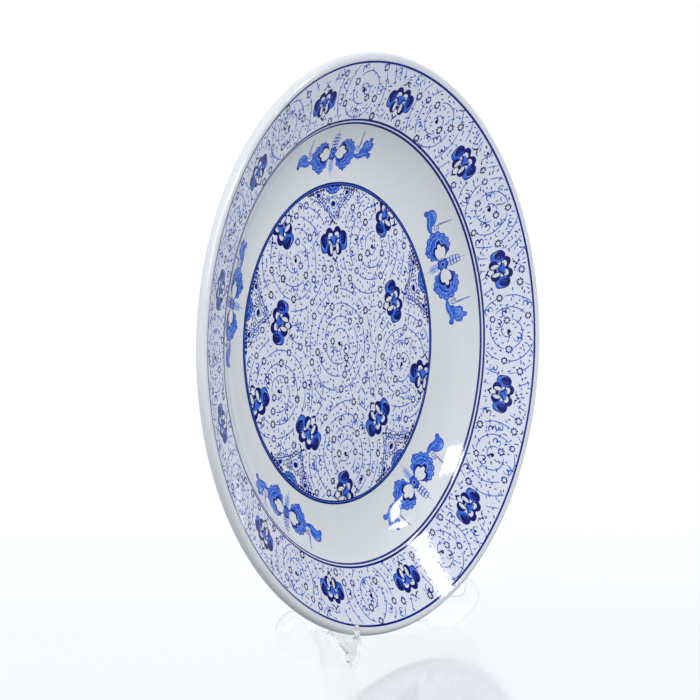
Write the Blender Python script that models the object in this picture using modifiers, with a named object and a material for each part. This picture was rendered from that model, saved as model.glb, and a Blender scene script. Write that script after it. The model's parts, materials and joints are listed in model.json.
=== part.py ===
"""A glazed china serving platter standing in its clear two-panel display stand.

Frame: +Z up, Z = 0 is the table top. The origin is the point of the table under the line where the stand's two
panels cross. The platter faces -Y and leans back over the crossing. Metres.
"""

import math

import bpy
from mathutils import Vector

# Platter. Radii are from its own axis, heights are above the flat floor of the well, along that axis.
PLATTER_RADIUS = 0.150
WELL_RADIUS = 0.0827          # edge of the flat painted floor, where the cavetto starts to rise
CAVETTO_ARC = 0.0490          # radius of the hollow curve from the floor up to the shoulder
CAVETTO_END = math.radians(40)
RIM_START_SLOPE = math.radians(20)
RIM_END_SLOPE = math.radians(25)
LIP_RADIUS = 0.00275          # round of the outer edge
WALL = 0.0052                 # thickness of the wall and the rim
BASE = 0.0062                 # thickness of the floor
FOOT_RING_RADIUS = 0.0860     # middle of the ring the platter rests on when it lies on a table
FOOT_RING_HEIGHT = 0.0050
FOOT_RING_WIDTH = 0.0042      # at its resting face
FOOT_RING_FLARE = 0.0011      # how much wider each side is where the ring meets the base
REVOLVE_STEPS = 96

# How the platter sits in the stand.
LEAN = math.radians(7)        # back from upright
SEAT_HEIGHT = 0.1565          # middle of the well's floor above the table
SEAT_FORWARD = 0.0098         # the same point, in front of the stand's crossing

# Stand. A panel's outline is drawn with u along the table, forward from the crossing, and h up.
SHEET = 0.0020                # acrylic sheet
PANEL_TURN = math.radians(42)  # each panel from straight ahead
FRONT_FOOT_BACK = 0.0555
FRONT_FOOT_END = 0.0692
ARCH_BACK = 0.0080            # the raised span between the crossing and the front foot
ARCH_HEIGHT = 0.0036
HOOK_CENTRE = (0.0715, 0.0165)
HOOK_RADIUS = 0.0104
HOOK_START = math.radians(-42)
HOOK_END = math.radians(56)
HOOK_TIP_RADIUS = 0.0016
NOTCH_FRONT = 0.0747          # the hook's inner face, in front of the platter's lip
NOTCH_FLOOR = 0.0162
NOTCH_RADIUS = 0.0040
NOTCH_BACK = 0.0622
ARM_SLOPE = math.atan(1.07)   # the arm's front edge runs up along the platter's back
ARM_FOOT = (0.0606, 0.01935)
ARM_TOP = 0.0570              # where the straight front edge ends
ARM_TOP_RADIUS = 0.0048
ARM_BACK_BEND = (0.0090, 0.0340)
LOBE_BEND = (0.0015, 0.0160)
REAR_LOBE_CENTRE = -0.0135
REAR_LOBE_RADIUS = 0.0118
FINGER_NOTCH_CENTRE = -0.0128
FINGER_NOTCH_HEIGHT = 0.0046
FINGER_NOTCH_TOP = 0.0050
FINGER_NOTCH_MOUTH = 0.0100
SLOT_END = 0.0100             # height where the two panels' slots meet
SLOT_PLAY = 0.0003            # gap on each side of the sheet in the slot, and between the slots' ends

OBJECT = "platter_on_stand"


def clear_scene():
    for obj in list(bpy.data.objects):
        bpy.data.objects.remove(obj, do_unlink=True)


def new_collection(name):
    collection = bpy.data.collections.new(name)
    bpy.context.scene.collection.children.link(collection)
    return collection


def material(name, colour, roughness, metallic=0.0, transmission=0.0, ior=1.5):
    made = bpy.data.materials.new(name)
    made.use_nodes = True
    shader = made.node_tree.nodes["Principled BSDF"]
    shader.inputs["Base Color"].default_value = (*colour, 1.0)
    shader.inputs["Roughness"].default_value = roughness
    shader.inputs["Metallic"].default_value = metallic
    shader.inputs["Transmission Weight"].default_value = transmission
    shader.inputs["IOR"].default_value = ior
    return made


def arc(centre, radius, start, end, steps):
    """Points on a circle from the start angle to the end angle, in radians, both ends included."""
    turn = (end - start) / steps
    return [
        (centre[0] + radius * math.cos(start + turn * i), centre[1] + radius * math.sin(start + turn * i))
        for i in range(steps + 1)
    ]


def well_and_rim():
    """(radius, height, slope) along the eating surface, from the edge of the floor out to the lip."""
    points = []
    cavetto_steps = 7
    for i in range(cavetto_steps + 1):
        slope = CAVETTO_END * i / cavetto_steps
        points.append((
            WELL_RADIUS + CAVETTO_ARC * math.sin(slope),
            CAVETTO_ARC * (1 - math.cos(slope)),
            slope,
        ))
    shoulder_radius, shoulder_height, _ = points[-1]
    rim_steps = 4
    step = (PLATTER_RADIUS - LIP_RADIUS - 0.0010 - shoulder_radius) / rim_steps
    height = shoulder_height
    for i in range(1, rim_steps + 1):
        middle = RIM_START_SLOPE + (RIM_END_SLOPE - RIM_START_SLOPE) * (i - 0.5) / rim_steps
        height += step * math.tan(middle)
        slope = RIM_START_SLOPE + (RIM_END_SLOPE - RIM_START_SLOPE) * i / rim_steps
        points.append((shoulder_radius + step * i, height, slope))
    return points


def platter_profile():
    """(radius, height) from the middle of the eating surface, round the lip and under to the middle of the back."""
    top = well_and_rim()
    profile = [(0.0, 0.0), (WELL_RADIUS / 2, 0.0)]
    profile += [(radius, height) for radius, height, _ in top]
    rim_radius, rim_height, rim_slope = top[-1]
    lip = (PLATTER_RADIUS - LIP_RADIUS, rim_height - LIP_RADIUS * math.cos(rim_slope))
    profile += arc(lip, LIP_RADIUS, math.pi / 2 - 0.1, -math.pi / 2 - rim_slope, 7)
    for radius, height, slope in reversed(top[1:-1]):
        profile.append((radius + WALL * math.sin(slope), height - WALL * math.cos(slope)))
    ring_top = -BASE
    ring_foot = -BASE - FOOT_RING_HEIGHT
    half = FOOT_RING_WIDTH / 2
    bevel = 0.0006
    outer = FOOT_RING_RADIUS + half
    inner = FOOT_RING_RADIUS - half
    profile = [point for point in profile if not (point[1] < 0 and point[0] < outer + FOOT_RING_FLARE + 0.001)]
    profile += [
        (outer + FOOT_RING_FLARE, ring_top),
        (outer, ring_foot + bevel),
        (outer - bevel, ring_foot),
        (inner + bevel, ring_foot),
        (inner, ring_foot + bevel),
        (inner - FOOT_RING_FLARE, ring_top),
        (WELL_RADIUS / 2, ring_top),
        (0.0, ring_top),
    ]
    return profile


def turned(name, profile, collection, steps):
    """A closed solid of revolution about its own Z axis, from a profile that starts and ends on the axis."""
    mesh = bpy.data.meshes.new(name)
    points = [(radius, 0.0, height) for radius, height in profile]
    edges = [(i, i + 1) for i in range(len(points) - 1)]
    mesh.from_pydata(points, edges, [])
    obj = bpy.data.objects.new(name, mesh)
    collection.objects.link(obj)
    screw = obj.modifiers.new("revolve", "SCREW")
    screw.axis = "Z"
    screw.steps = steps
    screw.render_steps = steps
    screw.use_merge_vertices = True
    screw.merge_threshold = 0.00001
    screw.use_smooth_shade = True
    return obj


def make_platter(collection):
    seat = bpy.data.objects.new("platter_seat", None)
    seat.location = (0.0, -SEAT_FORWARD, SEAT_HEIGHT)
    seat.rotation_euler = (math.pi / 2 - LEAN, 0.0, 0.0)
    collection.objects.link(seat)
    platter = turned("platter", platter_profile(), collection, REVOLVE_STEPS)
    platter.parent = seat
    platter.data.materials.append(material("white_glaze", (0.78, 0.80, 0.83), 0.08))
    return platter


def bezier(start, first, second, end, steps):
    """Points along a cubic curve, without its start."""
    points = []
    for i in range(1, steps + 1):
        t = i / steps
        weights = ((1 - t) ** 3, 3 * t * (1 - t) ** 2, 3 * t * t * (1 - t), t ** 3)
        points.append(tuple(
            sum(weight * point[axis] for weight, point in zip(weights, (start, first, second, end)))
            for axis in (0, 1)
        ))
    return points


def hook_and_notch():
    """From the front foot round the hook and down into the notch that holds the platter's lip."""
    outer = arc(HOOK_CENTRE, HOOK_RADIUS, HOOK_START, HOOK_END, 12)
    tip_centre = (NOTCH_FRONT + HOOK_TIP_RADIUS, outer[-1][1] - HOOK_TIP_RADIUS * 0.55)
    tip = arc(tip_centre, HOOK_TIP_RADIUS, math.radians(80), math.radians(180), 5)
    notch_centre = (NOTCH_FRONT - NOTCH_RADIUS, NOTCH_FLOOR + NOTCH_RADIUS)
    notch = arc(notch_centre, NOTCH_RADIUS, 0.0, -math.pi / 2, 6)
    return outer + tip + notch + [(NOTCH_BACK, NOTCH_FLOOR), ARM_FOOT]


def arm_and_rear():
    """Up the arm that the platter leans on, over its top and down its back to the rear foot."""
    edge_top = Vector((ARM_FOOT[0] - (ARM_TOP - ARM_FOOT[1]) / math.tan(ARM_SLOPE), ARM_TOP))
    centre = edge_top - Vector((math.sin(ARM_SLOPE), math.cos(ARM_SLOPE))) * ARM_TOP_RADIUS
    top = arc(centre, ARM_TOP_RADIUS, math.pi / 2 - ARM_SLOPE, math.pi * 0.97, 8)
    lobe = arc((REAR_LOBE_CENTRE, 0.0), REAR_LOBE_RADIUS, math.pi / 2, math.pi - 0.02, 9)
    back = bezier(top[-1], ARM_BACK_BEND, LOBE_BEND, lobe[0], 12)
    return top + back[:-1] + lobe


def slot_half_width():
    crossing = 2 * PANEL_TURN
    return SHEET / 2 * (1 + abs(math.cos(crossing))) / math.sin(crossing) + SLOT_PLAY


def underside(slot_from_below):
    """From the rear foot along the table to the front foot."""
    half_top = FINGER_NOTCH_TOP / 2
    half_mouth = FINGER_NOTCH_MOUTH / 2
    points = [
        (FINGER_NOTCH_CENTRE - half_mouth, 0.0),
        (FINGER_NOTCH_CENTRE - half_top, FINGER_NOTCH_HEIGHT),
        (FINGER_NOTCH_CENTRE + half_top, FINGER_NOTCH_HEIGHT),
        (FINGER_NOTCH_CENTRE + half_mouth, 0.0),
    ]
    if slot_from_below:
        half = slot_half_width()
        points += [(-half, 0.0), (-half, SLOT_END), (half, SLOT_END), (half, 0.0)]
    points += [
        (ARCH_BACK, 0.0),
        (ARCH_BACK + ARCH_HEIGHT, ARCH_HEIGHT),
        (FRONT_FOOT_BACK - 0.0006, ARCH_HEIGHT),
        (FRONT_FOOT_BACK, 0.0),
        (FRONT_FOOT_END, 0.0),
    ]
    return points


def cut_slot_from_above(points):
    """Opens a slot at the crossing through the outline's upper edge, down to just above the other panel's slot."""
    half = slot_half_width()
    bottom = SLOT_END - SLOT_PLAY
    cut = []
    for first, second in zip(points, points[1:] + points[:1]):
        cut.append(first)
        for edge in (half, -half):
            if first[0] > edge > second[0] and first[1] > bottom:
                share = (edge - first[0]) / (second[0] - first[0])
                rim = (edge, first[1] + share * (second[1] - first[1]))
                cut += [rim, (edge, bottom)] if edge > 0 else [(edge, bottom), rim]
    return [p for p in cut if not (abs(p[0]) < half - 1e-9 and p[1] > bottom + 1e-9)]


def panel_outline(slot_from_below):
    points = underside(slot_from_below) + hook_and_notch() + arm_and_rear()
    return points if slot_from_below else cut_slot_from_above(points)


def make_panel(name, outline, turn, collection):
    curve = bpy.data.curves.new(name, "CURVE")
    curve.dimensions = "2D"
    curve.fill_mode = "BOTH"
    curve.extrude = SHEET / 2
    spline = curve.splines.new("POLY")
    spline.points.add(len(outline) - 1)
    for point, (u, h) in zip(spline.points, outline):
        point.co = (u, h, 0.0, 1.0)
    spline.use_cyclic_u = True
    panel = bpy.data.objects.new(name, curve)
    panel.rotation_euler = (math.pi / 2, 0.0, turn)
    collection.objects.link(panel)
    panel.data.materials.append(material(name + "_acrylic", (0.95, 0.97, 0.98), 0.03, transmission=0.95, ior=1.49))
    return panel


def main():
    clear_scene()
    collection = new_collection(OBJECT)
    make_platter(collection)
    ahead = -math.pi / 2
    make_panel("stand_panel_right", panel_outline(True), ahead + PANEL_TURN, collection)
    make_panel("stand_panel_left", panel_outline(False), ahead - PANEL_TURN, collection)


main()
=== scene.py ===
"""The looks of the china platter in its clear display stand: glaze, painting, acrylic, light and camera."""
import json
import random
from math import asin, atan2, ceil, cos, dist, hypot, pi, radians, sin, sqrt, tan
from math import degrees as to_degrees, tau as TAU

import bmesh
import bpy
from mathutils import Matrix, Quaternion, Vector

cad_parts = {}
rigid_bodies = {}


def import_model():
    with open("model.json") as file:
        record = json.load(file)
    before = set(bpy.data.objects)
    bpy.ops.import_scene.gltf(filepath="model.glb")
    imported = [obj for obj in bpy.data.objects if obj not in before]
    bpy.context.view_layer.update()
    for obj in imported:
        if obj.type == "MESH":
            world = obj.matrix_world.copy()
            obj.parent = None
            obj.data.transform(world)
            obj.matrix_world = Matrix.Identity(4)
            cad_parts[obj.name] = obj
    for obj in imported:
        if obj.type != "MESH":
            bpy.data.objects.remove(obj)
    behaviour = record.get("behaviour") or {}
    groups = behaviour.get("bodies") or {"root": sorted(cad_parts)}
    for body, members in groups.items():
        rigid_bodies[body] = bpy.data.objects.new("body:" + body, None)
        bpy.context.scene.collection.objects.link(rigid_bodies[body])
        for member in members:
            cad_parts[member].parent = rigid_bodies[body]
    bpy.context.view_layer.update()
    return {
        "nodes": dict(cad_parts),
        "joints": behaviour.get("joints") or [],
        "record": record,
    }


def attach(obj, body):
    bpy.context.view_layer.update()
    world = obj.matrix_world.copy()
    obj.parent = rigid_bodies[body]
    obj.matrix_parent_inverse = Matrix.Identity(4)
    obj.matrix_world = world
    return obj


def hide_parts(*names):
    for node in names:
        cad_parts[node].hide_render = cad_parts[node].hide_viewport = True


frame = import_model()

MM = 0.001

# ---------------------------------------------------------------- the platter's own shape, in millimetres
RADIUS = 150.0
WELL_RADIUS = 82.7
CAVETTO_ARC = 49.0
CAVETTO_STEEPEST = radians(37.6)
SHOULDER = (112.6, 117.0)      # where the cavetto turns over into the rim
RIM_SLOPE = (radians(20.6), radians(25.0))
RIM_END = 146.25
LIP_RADIUS = 2.75
WALL = 5.2
BASE = 6.2
RIM_RINGS = (115.3, 145.3)     # the painted rings that bound the rim's painting
RING_RADIUS = 86.0             # of the foot ring
RING_HEIGHT = 5.0
RING_WIDTH = 4.2
TURNS = 384                    # steps round the platter


def mount(name):
    return next(m for m in frame["record"]["mounts"] if m["name"] == name)


def lift_axis():
    return Vector(next(j for j in frame["joints"] if j["name"] == "platter_lift")["axis"]).normalized()


UP = lift_axis()                                   # up the platter's face
RIGHT = Vector((1, 0, 0))
FRONT = UP.cross(RIGHT).normalized()               # out of the eating surface, towards the viewer
if FRONT.y > 0:
    FRONT = -FRONT
RING_POINT = Vector(mount("foot_ring_rest")["pos_m"])
CENTRE = RING_POINT - UP * RING_RADIUS * MM + FRONT * (BASE + RING_HEIGHT) * MM


def smooth(t):
    t = min(max(t, 0.0), 1.0)
    return t * t * (3 - 2 * t)


def slope_at(r):
    """Slope of the eating surface at a radius."""
    if r <= WELL_RADIUS:
        return 0.0
    if r < SHOULDER[0]:
        return asin((r - WELL_RADIUS) / CAVETTO_ARC)
    if r < SHOULDER[1]:
        t = smooth((r - SHOULDER[0]) / (SHOULDER[1] - SHOULDER[0]))
        return CAVETTO_STEEPEST + (RIM_SLOPE[0] - CAVETTO_STEEPEST) * t
    t = (r - SHOULDER[1]) / (RIM_END - SHOULDER[1])
    return RIM_SLOPE[0] + (RIM_SLOPE[1] - RIM_SLOPE[0]) * min(t, 1.0)


STEP = 0.25
HEIGHTS = [0.0]
while len(HEIGHTS) * STEP <= RADIUS:
    HEIGHTS.append(HEIGHTS[-1] + STEP * tan(slope_at((len(HEIGHTS) - 0.5) * STEP)))


def height_at(r):
    i = min(int(r / STEP), len(HEIGHTS) - 2)
    t = r / STEP - i
    return HEIGHTS[i] * (1 - t) + HEIGHTS[i + 1] * t


def on_face(x, y, lift=0.0):
    """World place and normal of a design point (millimetres, x right, y up) on the eating surface."""
    r = hypot(x, y)
    out = (RIGHT * x + UP * y) / r if r > 1e-6 else Vector((0, 0, 0))
    slope = slope_at(r)
    normal = FRONT * cos(slope) - out * sin(slope)
    place = CENTRE + (RIGHT * x + UP * y + FRONT * height_at(r)) * MM + normal * lift * MM
    return place, normal


def arc(centre, radius, start, end, steps):
    turn = (end - start) / steps
    return [
        (centre[0] + radius * cos(start + turn * i), centre[1] + radius * sin(start + turn * i))
        for i in range(steps + 1)
    ]


def body_profile():
    """(radius, height) all the way round the platter's section, with the index range of the bare foot."""
    radii = [0.0, 20.0, 40.0, 60.0, 75.0]
    r = WELL_RADIUS - 2
    while r < RIM_END:
        radii.append(r)
        r += 0.9
    radii.append(RIM_END)
    front = [(r, height_at(r)) for r in radii]
    slope = slope_at(RIM_END)
    lip = (RADIUS - LIP_RADIUS, height_at(RIM_END) - LIP_RADIUS * cos(slope))
    around = arc(lip, LIP_RADIUS, pi / 2 + slope * 0.4, -pi / 2 - slope, 18)[1:]
    back = []
    for r in reversed(radii):
        if RING_RADIUS + 9 < r < RIM_END - 3:
            slope = slope_at(r)
            back.append((r + WALL * sin(slope), height_at(r) - WALL * cos(slope)))
    ring_foot = -BASE - RING_HEIGHT
    outer = RING_RADIUS + RING_WIDTH / 2
    inner = RING_RADIUS - RING_WIDTH / 2
    fillet = 1.8
    # Out of the wall into the ring's outer side, over its foot, and into the flat underneath.
    start = back[-1]
    side = outer + 0.9
    sweep = []
    for i in range(1, 9):
        t = i / 8
        sweep.append((
            start[0] + (side - start[0]) * sin(t * pi / 2),
            start[1] + (-BASE - 1.3 - start[1]) * (1 - cos(t * pi / 2)),
        ))
    foot = [(outer + 0.25, ring_foot + 1.3), (outer, ring_foot + 0.75)]
    foot += arc((outer - 0.6, ring_foot + 0.6), 0.6, 0.0, -pi / 2, 5)
    bare_from = len(front) + len(around) + len(back) + len(sweep) + 2
    foot += arc((inner + 0.6, ring_foot + 0.6), 0.6, -pi / 2, -pi, 5)
    bare_to = len(front) + len(around) + len(back) + len(sweep) + len(foot)
    foot.append((inner - 0.3, ring_foot + 1.5))
    corner = arc((inner - 0.9 - fillet, -BASE - fillet), fillet, 0.0, pi / 2, 6)
    under = [(60.0, -BASE), (30.0, -BASE), (0.0, -BASE)]
    return front + around + back + sweep + foot + corner + under, (bare_from, bare_to)


# ---------------------------------------------------------------- materials
def feed(tree, node, given):
    """Link or set a node's inputs, by name or by place."""
    for key, value in given.items():
        if isinstance(value, bpy.types.NodeSocket):
            tree.links.new(value, node.inputs[key])
        else:
            node.inputs[key].default_value = value


def add(tree, kind, given=None, **settings):
    node = tree.nodes.new(kind)
    for key, value in settings.items():
        setattr(node, key, value)
    feed(tree, node, given or {})
    return node


def noise(tree, scale, detail=2.0, roughness=0.5):
    """Noise over the object's own coordinates, with the scale in bumps per metre."""
    coords = add(tree, "ShaderNodeTexCoord").outputs["Object"]
    return add(tree, "ShaderNodeTexNoise", {
        "Scale": scale, "Detail": detail, "Roughness": roughness, "Vector": coords}).outputs["Fac"]


def remap(tree, value, low, high, out_low=0.0, out_high=1.0, **settings):
    return add(tree, "ShaderNodeMapRange", {
        "From Min": low, "From Max": high, "To Min": out_low, "To Max": out_high, "Value": value},
        **settings).outputs["Result"]


def clouds(tree, scale, detail):
    """Soft patches from 0 to 1."""
    return remap(tree, noise(tree, scale, detail), 0.3, 0.7)


def blend_colours(tree, factor, first, second):
    made = add(tree, "ShaderNodeMix", {"Factor": factor}, data_type="RGBA")
    ends = [socket for socket in made.inputs if socket.type == "RGBA"]
    for socket, colour in zip(ends, (first, second)):
        socket.default_value = (*colour, 1)
    return next(socket for socket in made.outputs if socket.type == "RGBA")


def multiply_add(tree, value, by, plus=0.0):
    return add(tree, "ShaderNodeMath", {0: value, 1: by, 2: plus}, operation="MULTIPLY_ADD").outputs["Value"]


def bump(tree, scale, detail, strength, distance, under=None):
    """The normal of a surface with a fine relief, over another relief if one is given."""
    given = {"Strength": strength, "Distance": distance, "Height": noise(tree, scale, detail)}
    if under:
        given["Normal"] = under
    return add(tree, "ShaderNodeBump", given).outputs["Normal"]


def new_material(name):
    """(material, its node tree, its shader)"""
    material = bpy.data.materials.new(name)
    material.use_nodes = True
    return material, material.node_tree, material.node_tree.nodes["Principled BSDF"]


def glazed(name, thick, thin, scale, detail, roughness=0.5, spread=0.2):
    """A colour in thin and thick patches under a gloss with a ripple, a fine orange peel and a haze."""
    material, tree, shader = new_material(name)
    patches = remap(tree, noise(tree, scale, detail, roughness), 0.5 - spread, 0.5 + spread)
    feed(tree, shader, {
        "Base Color": blend_colours(tree, patches, thick, thin),
        "Roughness": remap(tree, noise(tree, 60.0, 3.0), 0.35, 0.65, 0.040, 0.080),
        "Normal": bump(tree, 420.0, 2.0, 0.30, 0.00006, bump(tree, 75.0, 1.5, 0.10, 0.00012)),
        "IOR": 1.52,
    })
    return material


def white_glaze(name, thick, thin):
    return glazed(name, thick, thin, 14.0, 4.0)


def pigment(name, thick, thin):
    """Cobalt: it pools darker and runs paler over a few millimetres."""
    return glazed(name, thick, thin, 420.0, 3.0, 0.6, 0.18)


def bare_clay():
    material, tree, shader = new_material("bare_clay")
    feed(tree, shader, {
        "Base Color": blend_colours(tree, clouds(tree, 2400.0, 3.0), (0.62, 0.57, 0.50), (0.74, 0.70, 0.64)),
        "Roughness": 0.75,
        "Normal": bump(tree, 2400.0, 3.0, 0.5, 0.0001),
    })
    return material


def acrylic(name, first, second, roughness, relief, alpha):
    material, tree, shader = new_material(name)
    feed(tree, shader, {
        "Base Color": blend_colours(tree, clouds(tree, 40.0, 2.0), first, second),
        "Transmission Weight": 1.0,
        "IOR": 1.49,
        "Alpha": alpha,
        "Roughness": remap(tree, noise(tree, 220.0, 4.0), 0.3, 0.7, roughness * 0.5, roughness * 1.5),
        "Normal": bump(tree, 300.0, 2.0, relief, 0.0001),
    })
    return material


GLAZE = white_glaze("white_glaze", (0.690, 0.722, 0.770), (0.735, 0.762, 0.805))
BLUSHED = white_glaze("blushed_glaze", (0.700, 0.745, 0.850), (0.745, 0.785, 0.885))   # round the painting
BARE = bare_clay()
PIGMENTS = {
    "line": pigment("cobalt_line", (0.028, 0.085, 0.500), (0.075, 0.190, 0.700)),
    "ink": pigment("cobalt_ink", (0.011, 0.021, 0.270), (0.026, 0.048, 0.450)),
    "navy": pigment("cobalt_navy", (0.003, 0.005, 0.095), (0.007, 0.011, 0.205)),
    "blue": pigment("cobalt_blue", (0.022, 0.090, 0.580), (0.060, 0.205, 0.800)),
    "pale": pigment("cobalt_wash", (0.200, 0.340, 0.780), (0.330, 0.490, 0.880)),
    "white": GLAZE,
}
ACRYLIC = (
    acrylic("acrylic_face", (0.975, 0.982, 0.988), (0.992, 0.995, 0.997), 0.012, 0.02, 0.30),
    acrylic("acrylic_cut_edge", (0.930, 0.945, 0.960), (0.965, 0.975, 0.985), 0.10, 0.20, 0.75),
)


def placed(name, data):
    """A new object in the scene."""
    obj = bpy.data.objects.new(name, data)
    bpy.context.scene.collection.objects.link(obj)
    return obj


def placed_on(body, name, mesh, instead_of=None):
    """A new piece that rides on a CAD body."""
    obj = placed(name, mesh)
    if instead_of:
        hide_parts(instead_of)
    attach(obj, body)


# ---------------------------------------------------------------- the glazed body
def painted_band(profile, k):
    """Whether a step of the profile lies on the eating surface, in the rim's or the well's painting."""
    (r, h), (outer, _) = profile[k], profile[k + 1]
    return outer > r and h >= 0.0 and (outer <= WELL_RADIUS or RIM_RINGS[0] < r < RIM_RINGS[1])


def make_platter():
    profile, bare = body_profile()
    bm = bmesh.new()
    rows = []
    for r, h in profile:
        if r < 1e-6:
            rows.append([bm.verts.new(CENTRE + FRONT * h * MM)])
            continue
        row = []
        for i in range(TURNS):
            a = TAU * i / TURNS
            row.append(bm.verts.new(
                CENTRE + (RIGHT * sin(a) * r + UP * cos(a) * r + FRONT * h) * MM
            ))
        rows.append(row)
    for k, (first, second) in enumerate(zip(rows, rows[1:])):
        for i in range(TURNS):
            j = (i + 1) % TURNS
            if len(first) == 1:
                corners = [first[0], second[j], second[i]]
            elif len(second) == 1:
                corners = [first[i], first[j], second[0]]
            else:
                corners = [first[i], first[j], second[j], second[i]]
            face = bm.faces.new(corners)
            face.smooth = True
            if bare[0] <= k < bare[1] - 1:
                face.material_index = 1
            elif painted_band(profile, k):
                face.material_index = 2
    bmesh.ops.recalc_face_normals(bm, faces=bm.faces)
    mesh = bpy.data.meshes.new("glazed_body")
    bm.to_mesh(mesh)
    bm.free()
    for material in (GLAZE, BARE, BLUSHED):
        mesh.materials.append(material)
    placed_on("platter", "glazed_body", mesh, "platter")


# ---------------------------------------------------------------- painting
class Painting:
    """Painted shapes in the design plane, kept apart by pigment, and made into one thin mesh for each."""

    def __init__(self, name, edge=RADIUS):
        self.name = name
        self.edge = edge
        self.shapes = {}

    def put(self, pigment, points, faces, layer):
        self.shapes.setdefault(pigment, []).append((points, faces, layer))

    def build(self):
        for pigment in sorted(self.shapes):
            vertices, normals, faces = [], [], []
            for points, shape_faces, layer in self.shapes[pigment]:
                base = len(vertices)
                for x, y in points:
                    r = hypot(x, y)
                    if r > self.edge:
                        x, y = x * self.edge / r, y * self.edge / r
                    place, normal = on_face(x, y, 0.03 + 0.02 * layer)
                    vertices.append(place)
                    normals.append(normal)
                faces += [tuple(base + i for i in face) for face in shape_faces]
            mesh = bpy.data.meshes.new(self.name + "_" + pigment)
            mesh.from_pydata(vertices, [], faces)
            turned = {i for i, polygon in enumerate(mesh.polygons) if polygon.normal.dot(FRONT) < 0}
            if turned:
                faces = [tuple(reversed(face)) if i in turned else face for i, face in enumerate(faces)]
                mesh.clear_geometry()
                mesh.from_pydata(vertices, [], faces)
            mesh.polygons.foreach_set("use_smooth", [True] * len(mesh.polygons))
            mesh.normals_split_custom_set_from_vertices(normals)
            mesh.materials.append(PIGMENTS[pigment])
            placed_on("platter", self.name + "_" + pigment, mesh)


LEAF = ((-0.5, 0.0), (-0.42, 0.33), (-0.15, 0.5), (0.2, 0.38), (0.5, 0.0), (0.2, -0.38), (-0.15, -0.5),
        (-0.42, -0.33))


class Spot:
    """A motif's own frame in the design plane: a across, b up, turned and scaled into place."""

    def __init__(self, painting, x, y, angle, scale=1.0, flip=1):
        self.painting = painting
        self.x, self.y = x, y
        self.cos, self.sin = cos(angle), sin(angle)
        self.scale = scale
        self.flip = flip

    def at(self, a, b):
        a = a * self.scale * self.flip
        b = b * self.scale
        return self.x + a * self.cos - b * self.sin, self.y + a * self.sin + b * self.cos

    def ribbon(self, pigment, points, width, layer=0, taper=0.35):
        """A brush stroke along points, thinner at its ends. width may be a function of 0..1 along it."""
        n = len(points)
        if n < 2:
            return
        sides, faces = [], []
        for i, (a, b) in enumerate(points):
            before, after = points[max(i - 1, 0)], points[min(i + 1, n - 1)]
            da, db = after[0] - before[0], after[1] - before[1]
            length = hypot(da, db) or 1.0
            t = i / (n - 1)
            if callable(width):
                w = width(t)
            else:
                w = width * min(1.0, taper + (1 - taper) * min(t, 1 - t) * n / 3)
            na, nb = -db / length * w / 2, da / length * w / 2
            sides += [self.at(a + na, b + nb), self.at(a - na, b - nb)]
            if i:
                k = 2 * i
                faces.append((k - 2, k - 1, k + 1, k))
        self.painting.put(pigment, sides, faces, layer)

    def blob(self, pigment, centre, outline, layer=0, grain=1.6):
        """A filled shape: rings from its centre out to outline(angle), given as an offset in a and b."""
        steps = 28
        reach = max(hypot(*outline(TAU * i / steps)) for i in range(steps)) * self.scale
        steps = max(10, min(40, round(reach * 9)))
        rings = max(1, ceil(reach / grain))
        points = [self.at(*centre)]
        for ring in range(1, rings + 1):
            for i in range(steps):
                da, db = outline(TAU * i / steps)
                points.append(self.at(centre[0] + da * ring / rings, centre[1] + db * ring / rings))
        faces = []
        for i in range(steps):
            j = (i + 1) % steps
            faces.append((0, 1 + i, 1 + j))
            for ring in range(1, rings):
                base = 1 + (ring - 1) * steps
                faces.append((base + i, base + steps + i, base + steps + j, base + j))
        self.painting.put(pigment, points, faces, layer)

    def leaf(self, pigment, a, b, angle, length, width, layer=0):
        """A short brush touch, round at its foot and pointed at its tip."""
        c, s = cos(angle), sin(angle)
        points = [self.at(a + p * length * c - q * width * s, b + p * length * s + q * width * c)
                  for p, q in LEAF]
        self.painting.put(pigment, points, [tuple(range(len(points)))], layer)


def turned_by(angle, x, y):
    return x * cos(angle) - y * sin(angle), x * sin(angle) + y * cos(angle)


def carried(points, a, b, angle, size):
    """Points of a shape, scaled, turned and moved to (a, b)."""
    return [(a + size * x, b + size * y) for x, y in (turned_by(angle, p, q) for p, q in points)]


def oval(a, b, lean=0.0):
    return lambda angle: turned_by(lean, a * cos(angle), b * sin(angle))


def scalloped(a, b, count, depth, first=0.0):
    """An oval whose edge swells into lobes from an angle on."""
    def outline(angle):
        k = 1.0
        turned = angle % TAU
        if turned >= first:
            k += depth * (abs(sin(count * (turned - first) / (TAU - first) * pi)) - 0.4)
        return a * k * cos(angle), b * k * sin(angle)
    return outline


def between(p0, p1, p2, p3, t):
    """A place from p1 to p2 on the smooth line through all four points."""
    return tuple(
        0.5 * (2 * b + (c - a) * t + (2 * a - 5 * b + 4 * c - d) * t * t + (3 * b - a - 3 * c + d) * t ** 3)
        for a, b, c, d in zip(p0, p1, p2, p3)
    )


def curve(points, steps=6):
    """A smooth line through points."""
    ends = [points[0], *points, points[-1]]
    made = [between(*ends[i:i + 4], k / steps) for i in range(len(points) - 1) for k in range(steps)]
    return made + [points[-1]]


def swell(width, start=0.15, end=0.15):
    """A stroke width that grows to its middle."""
    def at(t):
        return width * max(start * (1 - t) + end * t, sin(pi * t) ** 0.7)
    return at


def traced(points):
    """A closed, rounded outline through given offsets from a shape's middle."""
    n = len(points)

    def outline(angle):
        place = (angle / TAU * n) % n
        i = int(place)
        return between(*(points[(i + k) % n] for k in (-1, 0, 1, 2)), place - i)
    return outline


def bent(x, y, radius, start, end, steps=9):
    """Points of an arc round (x, y), its angles in degrees."""
    turn = radians(end - start) / steps
    first = radians(start)
    return [(x + radius * cos(first + turn * i), y + radius * sin(first + turn * i))
            for i in range(steps + 1)]


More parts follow.
